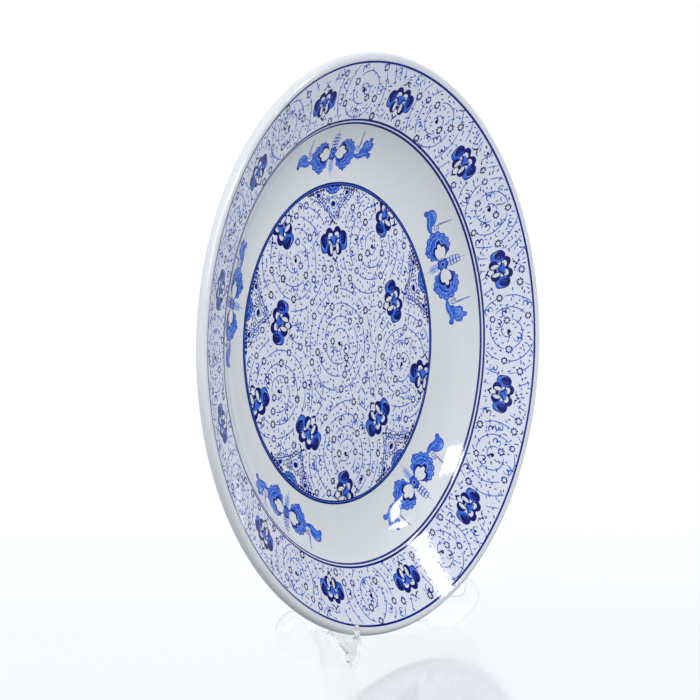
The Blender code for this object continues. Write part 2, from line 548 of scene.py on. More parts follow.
def winding(x, y, start, growth, turn, count):
    """Points of a small scroll that opens from its middle."""
    return [(x + (start + growth * t) * cos(t), y + (start + growth * t) * sin(t))
            for t in (turn * i for i in range(count))]


def rosette(spot, a, b, size, rng):
    """A small flower: short separate petals round a thin ring and a bare eye."""
    tone = rng.choice(("ink", "navy"))
    petals = rng.choice((8, 8, 9))
    phase = rng.uniform(0, TAU)
    spot.blob("white", (a, b), oval(0.6 * size, 0.6 * size), 1)
    spot.ribbon(tone, winding(a, b, 0.56 * size, 0.0, pi / 10, 21), 0.12 * size, 2, 1.0)
    for i in range(petals):
        t = phase + TAU * (i + rng.uniform(-0.13, 0.13)) / petals
        reach = size * rng.uniform(0.48, 0.60)
        middle = 0.50 * size + reach / 2
        spot.leaf(tone, a + middle * cos(t), b + middle * sin(t), t, reach, 0.49 * size, 2)


def curl(spot, a, b, angle, size, pigment):
    """A brush stroke shaped like a figure three."""
    turns = [radians(150) - radians(245) * i / 7 for i in range(8)]
    upper = [(0.36 * cos(t), 0.25 * sin(t) + 0.26) for t in turns]
    lower = [(p, -q) for p, q in reversed(upper)]
    spot.ribbon(pigment, carried(upper + lower, a, b, angle, size),
                lambda t: 0.185 * size * (0.42 + 0.7 * sin(pi * min(t * 1.15, 1.0))), 1)


BUD_EDGE = ((-2.2, 4.3), (1.2, 4.9), (3.7, 2.8), (3.95, -0.9), (2.9, -4.5), (-0.1, -5.3), (-2.7, -4.2),
            (-3.2, 0.0))
BUD_CUP = ((-2.3, 4.0), (0.9, 4.5), (3.3, 2.5), (3.5, -0.9), (2.5, -4.1), (-0.1, -4.9), (-2.7, -3.9), (-3.2, 0.0))
BUD_SEED = ((-1.5, 3.1), (0.9, 3.2), (2.3, 1.2), (2.1, -1.9), (0.5, -3.6), (-1.8, -2.5), (-2.4, 0.4))
CAP = ((-3.1, -1.3), (-2.6, 1.5), (-0.5, 2.9), (1.9, 2.4), (3.1, 0.4), (2.5, -1.6), (-0.2, -2.3))
CAP_LEAF = ((-2.1, -0.6), (-1.4, 0.9), (0.4, 1.3), (1.8, 0.5), (1.5, -1.0), (-0.4, -1.5))
BLADE_BACK = ((-1.9, 3.5), (0.6, 2.7), (2.3, 0.6), (2.3, -1.8), (0.5, -3.3), (-1.9, -3.1), (-2.9, -0.9),
              (-2.8, 1.6))
BLADE = ((-0.5, 2.9), (0.8, 1.6), (1.0, -0.9), (0.1, -2.6), (-0.9, -1.8), (-1.1, 0.9))
HEART = ((3.5, 1.7), (1.8, 2.3), (0.0, 2.6), (-1.8, 2.3), (-3.5, 1.7), (-2.8, -0.7), (0.0, -3.0), (2.8, -0.7))


def bouquet(painting, x, y, angle, scale, rng):
    """Two cupped blue buds with four white petals and a blue heart packed between them."""
    for flip in (1, -1):
        spot = Spot(painting, x, y, angle + rng.uniform(-0.03, 0.03), scale, flip)
        # Bud: dark edge, blue cup, a dark seed with three blue ticks, and a pale swirl.
        spot.blob("navy", (7.7, -0.6), traced(BUD_EDGE), 0)
        spot.blob("blue", (7.6, -0.6), traced(BUD_CUP), 1)
        spot.blob("navy", (8.4, 0.6), traced(BUD_SEED), 2)
        for rise, length in ((1.6, 1.5), (0.2, 2.0), (-1.2, 1.4)):
            spot.leaf("blue", 7.5, rise + rng.uniform(-0.2, 0.2), rng.uniform(0.3, 0.7), length, 0.5, 3)
        spot.ribbon("pale", bent(7.7, -0.6, 3.0, 20, -75), swell(0.5), 2)
        # Outer petal: a heavy dark cap round a small white leaf.
        spot.blob("navy", (3.5, 4.1), traced(CAP), 2)
        spot.blob("white", (2.8, 2.9), traced(CAP_LEAF), 3)
        # Inner petal: a narrow white blade with a broad dark back.
        spot.blob("navy", (3.9, -4.5), traced(BLADE_BACK), 2)
        spot.blob("white", (2.7, -4.2), traced(BLADE), 3)
        spot.ribbon("navy", curve([(5.4, 0.9), (3.2, 0.6), (1.7, -0.6), (0.5, -2.6)]), swell(1.1, 0.4, 0.5), 4)
        for end in (1, -1):
            spot.leaf("navy", 1.5, 9.0 * end, pi / 2 + 0.75 * end, 2.5, 1.15, 2)
        spot.leaf("ink", 3.4, 8.4, 0.5, 1.5, 0.7, 2)
        spot.ribbon("line", bent(1.5, 11.3, 1.1, 20, 200), swell(0.45), 1)
    spot = Spot(painting, x, y, angle, scale)
    spot.blob("blue", (0.0, 0.2), traced(HEART), 3)
    for b, across, up, layer in ((3.7, 1.05, 1.35, 4), (-4.2, 1.05, 1.3, 4),
                                 (10.2, 0.75, 0.95, 2), (-10.2, 0.8, 0.9, 2)):
        spot.blob("navy", (0.0, b), oval(across, up), layer)


def comma(spot, a, b, angle, size):
    """The dark drop a spiral starts from."""
    spot.blob("navy", (a, b), oval(0.95 * size, 0.72 * size, angle), 2)
    tail = carried([(0.5, 0.1), (-0.5, 0.95), (-1.5, 0.8), (-2.0, -0.2)], a, b, angle, size)
    spot.ribbon("navy", curve(tail), lambda t: size * (0.85 - 0.6 * t), 2)


class Ground:
    """What is free: circles already painted over, kept so that later touches stay clear of them."""

    CELL = 4.0     # the circles are filed by square cells this wide,
    MARGIN = 2.5   # each in every cell it comes this close to

    def __init__(self, inside):
        self.inside = inside
        self.cells = {}

    def cell(self, value):
        return int(value // self.CELL)

    def take(self, x, y, r):
        reach = r + self.MARGIN
        for i in range(self.cell(x - reach), self.cell(x + reach) + 1):
            for j in range(self.cell(y - reach), self.cell(y + reach) + 1):
                self.cells.setdefault((i, j), []).append((x, y, r))

    def free(self, x, y, r):
        near = self.cells.get((self.cell(x), self.cell(y)), ())
        return self.inside(x, y, r) and all(hypot(x - a, y - b) >= r + c for a, b, c in near)


BOUQUET_REACH = 17.3    # no bouquet goes further from its middle


def bouquet_zones(places, half_across, half_up):
    """A test for whether a point lies in one of the bouquets' rounded boxes, grown by a margin."""
    def in_bouquet(x, y, grow):
        for bx, by, turn in places:
            dx, dy = x - bx, y - by
            if dx * dx + dy * dy > BOUQUET_REACH ** 2:
                continue
            a, b = turned_by(-turn, dx, dy)
            if (abs(a) / (half_across + grow)) ** 2.2 + (abs(b) / (half_up + grow)) ** 2.2 < 1:
                return True
        return False
    return in_bouquet


def territory(centre, centres, inside, gap=0.0):
    """A test for whether a point is nearer to one spiral's middle than to any other's, by a gap."""
    others = [c for c in centres if c != centre]

    def own(x, y):
        mine = dist((x, y), centre)
        return inside(x, y, 0.2) and all(mine < dist((x, y), other) - gap for other in others)
    return own


PITCH = 6.7             # from one turn of a spiral to the next
STEM_START = 2.1        # its first radius
STEM_STEP = 0.7         # along its stem
STEM_WIDTH = 0.56
FLOWER_SIZE = 2.2
TOUCH_EVERY = (17, 30)  # millimetres of stem from one flower to the next, and from one curl to the next
NODE_EVERY = (3.4, 6.4)


def spiral(painting, ground, blocked, centre, start, reach, own, rng):
    """A thin stem that winds out clockwise from its centre wherever own() says the place is its own."""
    x, y = centre
    spot = Spot(painting, x, y, 0.0)
    comma(spot, 0.0, 0.0, start + pi, 1.3)
    ground.take(x, y, STEM_START)
    r, angle = STEM_START, start
    runs, run = [], []
    since_flower, since_curl, since_node = 6.0, 10.0, 3.0
    next_flower, next_curl, next_node = rng.uniform(12, 20), rng.uniform(14, 26), 4.0
    touches = []
    while r < reach:
        step = STEM_STEP / max(r, 2.0)
        angle -= step
        r += PITCH * step / TAU
        # A stem is drawn by hand: it strays a little from a true spiral.
        stray = r * (1 + 0.018 * sin(2.3 * angle + start) + 0.008 * sin(7.1 * angle))
        a, b = stray * cos(angle), stray * sin(angle)
        if not own(x + a, y + b) or blocked(x + a, y + b, 0.3):
            if len(run) > 3:
                runs.append(run)
            run = []
            continue
        run.append((a, b))
        since_flower += STEM_STEP
        since_curl += STEM_STEP
        since_node += STEM_STEP
        roomy = own(x + a * 1.08, y + b * 1.08) and not blocked(x + a, y + b, 2.8)
        if since_flower > next_flower and since_curl > 4 and roomy and r > 3.5:
            touches.append(("flower", a, b, angle))
            if len(run) > 4:
                runs.append(run[:-3])
            run = []
            since_flower, next_flower, since_node = 0.0, rng.uniform(*TOUCH_EVERY), 0.0
            # Leave the flower's far side clear as well.
            skip = FLOWER_SIZE / r
            angle -= skip
            r += PITCH * skip / TAU
        elif since_curl > next_curl and since_flower > 4 and r > 5:
            touches.append(("curl", a, b, angle))
            since_curl, next_curl, since_node = 0.0, rng.uniform(*TOUCH_EVERY), 0.0
        elif since_node > next_node:
            touches.append(("node", a, b, angle))
            since_node, next_node = 0.0, rng.uniform(*NODE_EVERY)
    if len(run) > 3:
        runs.append(run)
    for run in runs:
        spot.ribbon("line", run, STEM_WIDTH, 0)
        for a, b in run[::2]:
            ground.take(x + a, y + b, 0.4)
    for kind, a, b, angle in touches:
        if kind == "flower":
            rosette(spot, a, b, FLOWER_SIZE * rng.uniform(0.92, 1.08), rng)
            ground.take(x + a, y + b, 2.7)
        elif kind == "curl":
            out = 1.0 + rng.choice((-2.6, 2.6)) / hypot(a, b)
            px, py = x + a * out, y + b * out
            if ground.inside(px, py, 2.3) and not blocked(px, py, 2.0):
                pigment = "ink" if rng.random() < 0.45 else "line"
                curl(spot, a * out, b * out, angle + rng.choice((0.0, pi)) + rng.uniform(-0.5, 0.5),
                     rng.uniform(4.3, 5.1), pigment)
                ground.take(px, py, 2.3)
        else:
            side = rng.choice((1, -1))
            lean = angle - pi / 2 + side * rng.uniform(0.9, 1.4)
            spot.leaf("line", a + 0.7 * cos(lean), b + 0.7 * sin(lean), lean,
                      rng.uniform(1.7, 2.3), 0.85, 1)
            if rng.random() < 0.5:
                lean = angle - pi / 2 - side * rng.uniform(0.9, 1.4)
                spot.leaf("ink", a + 0.5 * cos(lean), b + 0.5 * sin(lean), lean, 1.3, 0.7, 1)
            ground.take(x + a, y + b, 1.1)


def ticks(painting, ground, blocked, centres, candidates, mid_share, rng):
    """Loose leaf touches that fill the ground between the stems, lying round or across the nearest spiral."""
    for x, y in candidates:
        if blocked(x, y, 0.7) or not ground.free(x, y, 0.85):
            continue
        cx, cy = min(centres, key=lambda c: hypot(x - c[0], y - c[1]))
        angle = atan2(y - cy, x - cx) + rng.choice((0.0, 0.0, pi / 2)) + rng.uniform(-0.4, 0.4)
        spot = Spot(painting, x, y, 0.0)
        pigment = "line" if rng.random() < mid_share else rng.choice(("ink", "navy"))
        length = rng.uniform(1.6, 2.4)
        spot.leaf(pigment, 0, 0, angle, length, rng.uniform(0.65, 0.92), 1)
        if rng.random() < 0.22:
            turn = angle + rng.choice((1.25, -1.25))
            spot.leaf(pigment, 0.42 * length * cos(angle) + 0.5 * cos(turn),
                      0.42 * length * sin(angle) + 0.5 * sin(turn), turn, 1.3, 0.6, 1)
        ground.take(x, y, 0.85)


def scattered(rng, low, high, spacing):
    """Jittered grid over a disc with a hole: a place about every spacing millimetres."""
    places = []
    n = ceil(high / spacing)
    for i in range(-n, n + 1):
        for j in range(-n, n + 1):
            x = (i + 0.5 * (j % 2) + rng.uniform(-0.36, 0.36)) * spacing
            y = (j * 0.88 + rng.uniform(-0.36, 0.36)) * spacing
            if low < hypot(x, y) < high:
                places.append((x, y))
    rng.shuffle(places)
    return places


def ring_line(painting, pigment, radius, width, layer, wobble=0.0, phase=0.0, steps=360):
    """A line all the way round, drawn with a hand that is never quite steady."""
    points, faces = [], []
    for i in range(steps):
        a = TAU * i / steps
        w = width / 2 * (1 + wobble * sin(5 * a + phase) * sin(13 * a + 2 * phase))
        for r in (radius - w, radius + w):
            points.append((r * sin(a), r * cos(a)))
        j = (i + 1) % steps
        faces.append((2 * i, 2 * i + 1, 2 * j + 1, 2 * j))
    painting.put(pigment, points, faces, layer)


def polar(radius, degrees):
    """Design point at a clock angle: degrees from the top, clockwise as the viewer sees it."""
    return radius * sin(radians(degrees)), radius * cos(radians(degrees))


def facing(degrees):
    """Turn that points a motif's b axis outwards at a clock angle."""
    return -radians(degrees)


RIM_PHASE = -6.6        # clock angle of the rim's first bouquet, in degrees,
FIVE_PHASE = 4.8        # and of the first of each five motifs in the well and on the cavetto
RIM_BAND = (116.0, 144.5)
WELL_PAINTED = 81.3
WELL_EDGE = 83.3        # no paint of the well goes past it
CORNER_TOP = 81.4       # where the well's corners meet its ring
CORNER_DEPTH = 19.0
CORNER_HALF = 22.0      # half a corner's width at the ring
SPRAYS = 98.4           # radius of the cavetto's sprays


def paint_rim():
    rng = random.Random(11)
    painting = Painting("rim")
    for radius, width, dark_radius, dark_width, wobble, phase in (
            (145.0, 1.15, 145.0, 0.75, 0.14, 0.4),
            (115.35, 1.10, 115.4, 0.85, 0.12, 1.1),
            (113.65, 1.00, 113.6, 0.78, 0.12, 2.3)):
        ring_line(painting, "line", radius, width, 1)
        ring_line(painting, "navy", dark_radius, dark_width, 2, wobble, phase)
    clocks = [RIM_PHASE + 30 * k for k in range(12)]
    bouquets = [(*polar(129.0, degrees), facing(degrees)) for degrees in clocks]
    centres = [polar(130.3, RIM_PHASE + 15 + 30 * k) for k in range(12)]
    low, high = RIM_BAND

    def inside(x, y, r):
        return low + r < hypot(x, y) < high - r

    in_bouquet = bouquet_zones(bouquets, 11.2, 8.6)
    ground = Ground(inside)
    for x, y, turn in bouquets:
        bouquet(painting, x, y, turn + rng.uniform(-0.05, 0.05), rng.uniform(0.86, 0.90), rng)
    for centre in centres:
        own = territory(centre, centres, inside)
        spiral(painting, ground, in_bouquet, centre, rng.uniform(0, TAU), 34.0, own, rng)
    ticks(painting, ground, in_bouquet, centres, scattered(rng, low, high, 3.0), 0.66, rng)
    painting.build()


def paint_medallion():
    rng = random.Random(5)
    painting = Painting("medallion", WELL_EDGE)
    ring_line(painting, "blue", 82.4, 1.90, 8)
    ring_line(painting, "navy", 82.85, 0.85, 9, 0.10, 0.7)
    ring_line(painting, "navy", 81.65, 0.65, 9, 0.10, 1.9)
    bouquets = []
    for radius, shift, extra in ((53.3, 0.0, 0.0), (77.6, 36.8, pi / 2)):
        for k in range(5):
            degrees = FIVE_PHASE + shift + 72 * k
            bouquets.append((*polar(radius, degrees), facing(degrees) + extra))
    centres = [(0.0, 0.0)] + [polar(57.5, FIVE_PHASE + 35.5 + 72 * k) for k in range(5)]
    corners = [FIVE_PHASE + 1.0 + 72 * k for k in range(5)]

    def inside(x, y, r):
        return hypot(x, y) < WELL_PAINTED - r

    def in_corner(x, y, grow=0.0):
        """Whether a point lies in a corner's wedge, which narrows away from the ring."""
        depth = CORNER_TOP - hypot(x, y)
        if depth > CORNER_DEPTH:
            return False
        half = CORNER_HALF * (1 - smooth((depth + 1) / (CORNER_DEPTH + 2))) + grow
        for degrees in corners:
            across, up = turned_by(radians(degrees), x, y)
            if up > 0 and abs(across) < half:
                return True
        return False

    def blocked(x, y, grow):
        return in_bouquet(x, y, grow) or in_corner(x, y, grow)

    in_bouquet = bouquet_zones(bouquets, 12.3, 9.0)
    ground = Ground(inside)
    for x, y, turn in bouquets:
        bouquet(painting, x, y, turn + rng.uniform(-0.05, 0.05), rng.uniform(0.97, 1.02), rng)
    for centre in centres:
        own = territory(centre, centres, inside, 0.8)
        spiral(painting, ground, blocked, centre, rng.uniform(0, TAU), 46.0, own, rng)
    ticks(painting, ground, blocked, centres, scattered(rng, 0.0, WELL_PAINTED, 2.9), 0.45, rng)
    for degrees in corners:
        paint_corner(painting, ground, in_bouquet, in_corner, degrees, rng)
    painting.build()


def paint_corner(painting, ground, in_bouquet, in_corner, degrees, rng):
    """A crowded wedge that hangs from the medallion's ring: a half flower, small scrolls and dark fillers."""
    spot = Spot(painting, *polar(CORNER_TOP, degrees), facing(degrees))

    def clear(a, b, r):
        px, py = spot.at(a, b)
        return hypot(px, py) < CORNER_TOP - 0.2 - r * 0.4 and not in_bouquet(px, py, r * 0.5)

    drop = [(-22.5, -1.2), (-16.0, -4.2), (-10.0, -8.2), (-5.0, -12.8), (-1.2, -18.0)]
    for side in (1, -1):
        for inset, width in ((0.0, 0.6), (1.5, 0.4)):
            spot.ribbon("line", curve([((a + inset) * side, b + 0.5 * inset) for a, b in drop]), width, 1)
    # Half flower: dark edge, blue petals parted by dark veins, a dark heart with a pale rim.
    spot.blob("navy", (0.0, 0.9), scalloped(6.9, 4.9, 7, 0.15, pi), 2)
    spot.blob("blue", (0.0, 0.9), scalloped(6.4, 4.4, 7, 0.15, pi), 3)
    for i in range(8):
        t = pi + pi * i / 7
        out = atan2(0.65 * sin(t), cos(t))
        spot.leaf("navy", 4.3 * cos(t), 0.9 + 2.9 * sin(t), out, 2.3, 0.6, 4)
    for i in range(7):
        t = pi + pi * (i + 0.5) / 7
        spot.ribbon("pale", bent(5.1 * cos(t), 0.9 + 3.5 * sin(t), 0.7,
                                 to_degrees(t) - 80, to_degrees(t) + 80), swell(0.35), 4)
    spot.blob("pale", (0.0, 0.6), oval(2.7, 1.9), 4)
    spot.blob("navy", (0.0, 0.7), oval(2.2, 1.5), 5)
    # Small scrolls, each round a dark drop, and little flowers among them.
    for a, b, size in ((0.0, -9.4, 1.15), (-12.6, -4.3, 0.85), (12.6, -4.3, 0.85)):
        spot.ribbon("line", winding(a, b, 0.9 * size, 0.26 * size, 0.35, 27), 0.5, 1)
        spot.blob("navy", (a, b), traced([(1.7 * size, 0.4), (0.4, 1.4 * size), (-1.5 * size, 0.6),
                                          (-1.0, -0.9 * size), (0.7, -0.9 * size)]), 2)
        ground.take(*spot.at(a, b), 3.0 * size)
    for a, b in ((6.6, -7.4), (-6.6, -7.4), (3.1, -14.6), (-3.1, -14.6)):
        if clear(a, b, 1.5):
            rosette(spot, a, b, 1.55, rng)
            ground.take(*spot.at(a, b), 1.9)
    # Dark tufts shoulder to shoulder along the ring.
    for i in range(14):
        a = (8.2 + 2.2 * (i // 2) + rng.uniform(-0.4, 0.4)) * (1 if i % 2 else -1)
        rise = sqrt(CORNER_TOP ** 2 - a * a) - CORNER_TOP
        if not clear(a, rise - 1.2, 1.0):
            continue
        for lean in rng.choice(((-0.8, 0.0, 0.8), (-0.5, 0.6), (-0.9, 0.1))):
            turn = -pi / 2 + lean + rng.uniform(-0.3, 0.3)
            spot.leaf("navy" if lean else "ink", a + 0.8 * cos(turn), rise - 0.5 + 0.8 * sin(turn),
                      turn, rng.uniform(1.5, 2.6), rng.uniform(0.7, 1.1), 2)
        ground.take(*spot.at(a, rise - 1.2), 1.25)
    for _ in range(1200):
        a, b = rng.uniform(-CORNER_HALF, CORNER_HALF), -rng.uniform(0.3, CORNER_DEPTH)
        px, py = spot.at(a, b)
        if not clear(a, b, 0.6) or not in_corner(px, py, -0.5):
            continue
        if abs(a) < 7.7 and b > -4.8 or not ground.free(px, py, 0.45):
            continue
        dark = rng.random() < 0.62 + 0.25 * (b > -5)
        shape = rng.random()
        if shape < 0.75:
            spot.leaf("navy" if dark else "line", a, b, rng.uniform(0, TAU), rng.uniform(1.6, 2.5),
                      rng.uniform(0.6, 0.9), 2)
        else:
            spot.blob("ink" if dark else "blue", (a, b), oval(0.66, 0.52), 2)
        ground.take(px, py, 0.55)


def paint_cavetto():
    rng = random.Random(3)
    painting = Painting("cavetto")
    for k in range(5):
        degrees = FIVE_PHASE + 72 * k + rng.uniform(-0.6, 0.6)
        winged_spray(painting, *polar(SPRAYS, degrees), facing(degrees), rng)
    painting.build()


def feather(spot, sign, foot, length, width, pigment):
    """Two rows of small open loops up a hair of a stem that runs on past them."""
    rows = 4
    lean = sign * 0.5
    for i in range(rows):
        t = (i + 0.5) / rows
        half = width / 2 * (0.55 + 0.6 * sin(pi * (0.2 + 0.7 * t)))
        b = sign * (foot + length * t)
        for side in (1, -1):
            loop = []
            for k in range(13):
                turn = TAU * k / 12
                p, q = half * 0.52 * cos(turn), 0.63 * length / rows * sin(turn)
                loop.append((side * (half * 0.5 + p * cos(lean) - q * sin(lean) * sign),
                             b + p * sin(lean) + q * cos(lean)))
            spot.ribbon(pigment, loop, 0.42, 1, 1.0)
    spot.ribbon("line", [(0.0, sign * (foot + (length + 3.4) * i / 12)) for i in range(13)], 0.32, 1)


WING_LOBES = ((5.7, -5.6, 1.4), (8.6, -7.2, 1.6), (12.0, -6.9, 1.75), (15.0, -5.3, 1.8), (17.2, -2.6, 1.75),
              (17.0, 0.5, 1.7), (15.0, 3.0, 1.7), (12.3, 4.6, 1.6), (9.4, 5.1, 1.4), (7.0, 4.4, 1.1))
WING_BODY = ((-6.6, 1.2), (-5.0, -4.2), (-2.0, -6.6), (1.9, -6.4), (5.2, -4.2), (6.8, -1.2), (5.9, 2.2),
             (3.2, 4.6), (-0.6, 5.9), (-3.8, 5.0))
BELL = ((-4.9, 0.0), (-2.6, -2.5), (0.4, -3.3), (2.3, -2.6), (2.5, -1.3), (4.1, -0.9), (4.6, 0.0), (4.1, 0.9),
        (2.5, 1.3), (2.3, 2.6), (0.4, 3.3), (-2.6, 2.5))
TAIL_LEAVES = {
    1: ((-4.2, -2.0), (-4.6, -0.4), (-3.2, 0.9), (-2.8, 3.0), (-1.2, 4.2), (0.2, 3.6), (1.4, 5.2), (3.0, 4.4),
        (3.0, 2.6), (4.4, 2.0), (4.4, 0.2), (3.2, -1.4), (0.6, -2.0), (-2.0, -2.6)),
    -1: ((-4.7, -1.2), (-3.6, 0.6), (-1.6, 1.6), (0.4, 1.9), (2.2, 1.3), (3.6, 0.2), (4.0, -1.6), (2.6, -3.2),
         (0.6, -2.9), (-2.0, -2.6)),
}


def grown(points, by, x=0.0, y=0.0):
    return [(x + a * by, y + b * by) for a, b in points]


def paint_wing(spot):
    """A cloud of round lobes with a darker edge, then its body, then pale veins and dark clefts."""
    for a, b, r in WING_LOBES:
        spot.blob("ink", (a, b), oval(r + 0.32, r + 0.32), 0, 1.2)
        spot.blob("blue", (a, b), oval(r, r), 1, 1.2)
    spot.blob("blue", (10.6, -0.9), traced(grown(WING_BODY, 1.07)), 2, 1.2)
    spot.blob("ink", (10.4, -9.1), oval(1.15, 1.0), 1)
    spot.blob("blue", (10.4, -9.0), oval(0.8, 0.7), 2)
    for (a, b, r), after in zip(WING_LOBES, WING_LOBES[1:]):
        out = to_degrees(atan2(b + 0.9, a - 10.6))
        spot.ribbon("pale", bent(a, b, 0.52 * r, out - 130, out + 100), swell(0.36), 3)
        cleft = ((a + after[0]) / 2, (b + after[1]) / 2)
        inward = (cleft[0] * 0.62 + 10.6 * 0.38, cleft[1] * 0.62 - 0.9 * 0.38)
        middle = ((cleft[0] + inward[0]) / 2 + 0.15, (cleft[1] + inward[1]) / 2)
        spot.ribbon("ink", [cleft, middle, inward], swell(0.4, 0.8, 0.1), 3)
    for by, pigment, width in ((0.80, "pale", 0.42), (0.66, "ink", 0.40)):
        spot.ribbon(pigment, curve(grown(WING_BODY[1:-1], by, 10.3, -0.7)), swell(width), 3)


def paint_bell(spot):
    """Scalloped dark edge, a thin echo outside it, white inside."""
    for side in (1, -1):
        edge = [(7.8, 4.6 * side), (5.6, 3.6 * side), (3.6, 1.7 * side), (2.2, 0.8 * side)]
        spot.ribbon("ink", curve(edge), lambda t: 1.5 - 1.1 * t, 4)
    spot.ribbon("blue", curve([(7.6, -5.6), (5.4, -4.6), (3.6, -2.6), (2.4, -1.0)]), lambda t: 2.6 - 2.2 * t, 3)
    spot.ribbon("pale", curve(grown(BELL[2:-1], 1.52, 7.4)), swell(0.4), 4)
    spot.blob("navy", (7.5, 0.0), traced([(a * (1.30 if a > -1 else 1.0), b * 1.32) for a, b in BELL]), 4, 1.2)
    spot.blob("white", (7.0, 0.0), traced(BELL), 5, 1.2)


def paint_tail(spot, leaf):
    """A swelling stem that ends in a ball, with a lobed leaf curled off it, a pale scroll and a comb of teeth."""
    stem = curve([(18.6, -2.6), (20.9, -3.3), (23.8, -3.4), (26.8, -2.7), (29.4, -3.2), (31.0, -4.4)])
    spot.ribbon("ink", stem, swell(3.4, 0.40, 0.35), 2)
    spot.ribbon("blue", stem, swell(2.8, 0.38, 0.32), 3)
    spot.blob("ink", (30.9, -4.2), oval(1.6, 1.5), 2)
    spot.blob("blue", (30.9, -4.2), oval(1.25, 1.15), 4)
    spot.blob("ink", (27.8, -0.2), traced(grown(leaf, 1.09)), 2, 1.2)
    spot.blob("blue", (27.8, -0.2), traced(leaf), 3, 1.2)
    for by in (0.35, 0.68):
        spot.ribbon("pale", curve(grown(leaf[1:-2], by, 27.8, -0.3)), swell(0.4), 4)
    spot.ribbon("pale", curve([(20.6, -3.0), (23.8, -3.2), (26.8, -2.5), (29.4, -3.0)]), swell(0.42), 4)
    spot.blob("white", (21.0, 0.3), oval(2.1, 2.1), 4)
    spot.ribbon("line", winding(21.0, 0.3, 0.35, 0.17, 0.4, 25), 0.5, 5)
    spot.ribbon("line", curve([(22.6, 1.5), (22.2, 4.0), (22.0, 6.8), (22.2, 9.8)]), 0.34, 1)
    for i in range(8):
        spot.leaf("ink" if i < 4 else "line", 22.25, 2.4 + 0.9 * i, 0.35, 1.75 - 0.13 * i, 0.5, 2)


def winged_spray(painting, x, y, angle, rng):
    """Two fanned blue leaves with white bells, tied at a small flower, with scrolled ends."""
    for flip in (1, -1):
        spot = Spot(painting, x, y, angle + rng.uniform(-0.02, 0.02), rng.uniform(0.98, 1.02), flip)
        paint_wing(spot)
        paint_bell(spot)
        paint_tail(spot, TAIL_LEAVES[flip])
    spot = Spot(painting, x, y, angle)
    spot.blob("ink", (0.0, 0.0), scalloped(3.2, 3.2, 7, 0.24), 5)
    for i in range(7):
        turn = TAU * (i + 0.5) / 7
        spot.blob("blue", (1.85 * cos(turn), 1.85 * sin(turn)), oval(0.95, 0.78, turn), 6)
    spot.blob("pale", (0.0, 0.0), oval(1.35, 1.35), 6)
    spot.blob("navy", (0.0, 0.0), oval(0.95, 0.95), 7)
    feather(spot, 1, 3.0, 6.6, 4.4, "line")
    feather(spot, -1, 3.0, 6.2, 3.6, "pale")


# ---------------------------------------------------------------- stand
CLOSE = 0.00002      # corners nearer than this are one
EASED = 0.00022      # off each cut edge


def make_panel(node, body, name):
    """The CAD panel with its cut edges eased, clear on its faces and a little duller where it was cut."""
    mesh = frame["nodes"][node].data.copy()
    mesh.materials.clear()
    bm = bmesh.new()
    bm.from_mesh(mesh)
    bmesh.ops.remove_doubles(bm, verts=bm.verts, dist=CLOSE)
    bmesh.ops.dissolve_limit(bm, angle_limit=radians(1.0), verts=bm.verts, edges=bm.edges)
    bm.normal_update()
    across = max(bm.faces, key=lambda f: f.calc_area()).normal.copy()
    for face in bm.faces:
        face.material_index = 0 if abs(face.normal.dot(across)) > 0.9 else 1
    rims = [e for e in bm.edges if len(e.link_faces) == 2
            and {f.material_index for f in e.link_faces} == {0, 1}]
    bmesh.ops.bevel(bm, geom=rims, offset=EASED, segments=2, profile=0.5, affect="EDGES",
                    clamp_overlap=True, material=1)
    for face in bm.faces:
        face.smooth = True
    bm.to_mesh(mesh)
    bm.free()
    mesh.set_sharp_from_angle(angle=radians(32))
    for material in ACRYLIC:
        mesh.materials.append(material)
    placed_on(body, name, mesh, node)


make_platter()
paint_rim()
paint_medallion()
paint_cavetto()
make_panel("stand_panel_right", "stand_right", "clear_panel_right")
make_panel("stand_panel_left", "stand_left", "clear_panel_left")


# ---------------------------------------------------------------- floor, light and camera
CAMERA_HEADING = radians(54.98)        # to the platter's left
CAMERA_HEIGHT = radians(14.0)
CAMERA_DISTANCE = 2.9355
CAMERA_AIM = (0.00562, -0.00354)       # right of and above the well's middle
CAMERA_SENSOR = 36.0                   # millimetres, and so for the lens
CAMERA_LENS = 292.3
CAMERA_CLIP = (0.1, 60.0)
LAMP_DISTANCE = 1.7
KEY_DIRECTION = (-0.41, -0.62, 0.65)
KEY_WIDTH = 0.85
KEY_RADIANCE = 3.6
GLINTS = (                             # where the face mirrors each, its width, height, roll and radiance
    ("glint_rim", (36.2, -121.0), 0.098, 0.30, -12, 24.0),
    ("glint_cavetto", (28.2, -102.6), 0.068, 0.27, 20, 24.0),
    ("glint_side", (79.0, -78.3), 0.62, 0.24, -37, 16.0),
)
BACKDROP = ((0.70, 0.72, 0.05), 52, 28)     # which way it lies, and how many degrees off that it starts and is full
BACKDROP_GLOW = 1.1
BACKDROP_GLOSS = 0.30
SIDE_WALL = ((-0.80, 0.52, 0.30), 62, 30)
SIDE_GLOW = 1.2
DARK_CORNER = ((0.75, -0.66, -0.05), 50, 22)
DOME = 0.405                           # what the surround gives as light
DOME_COLOUR = (0.955, 0.980, 1.0)
GLOSS_OPEN = 0.85                      # what it shows in the glaze,
GLOSS_DARK = 0.04                      # and what its dark corner shows
FLOOR_RADIUS = 9.0
FLOOR_DROP = 0.0004                    # under the stand's feet
FLOOR_GREYS = ((0.22, 0.235, 0.25), (0.24, 0.255, 0.27))
FLOOR_GLOW = 0.545
FLOOR_GLOW_COLOUR = (0.972, 0.980, 1.0, 1)
FLOOR_BOUNCE = 0.17
FLOOR_FADE = (0.0, 0.26)               # how far behind the platter the floor melts away
WHITE = (1.0, 1.0, 1.0)


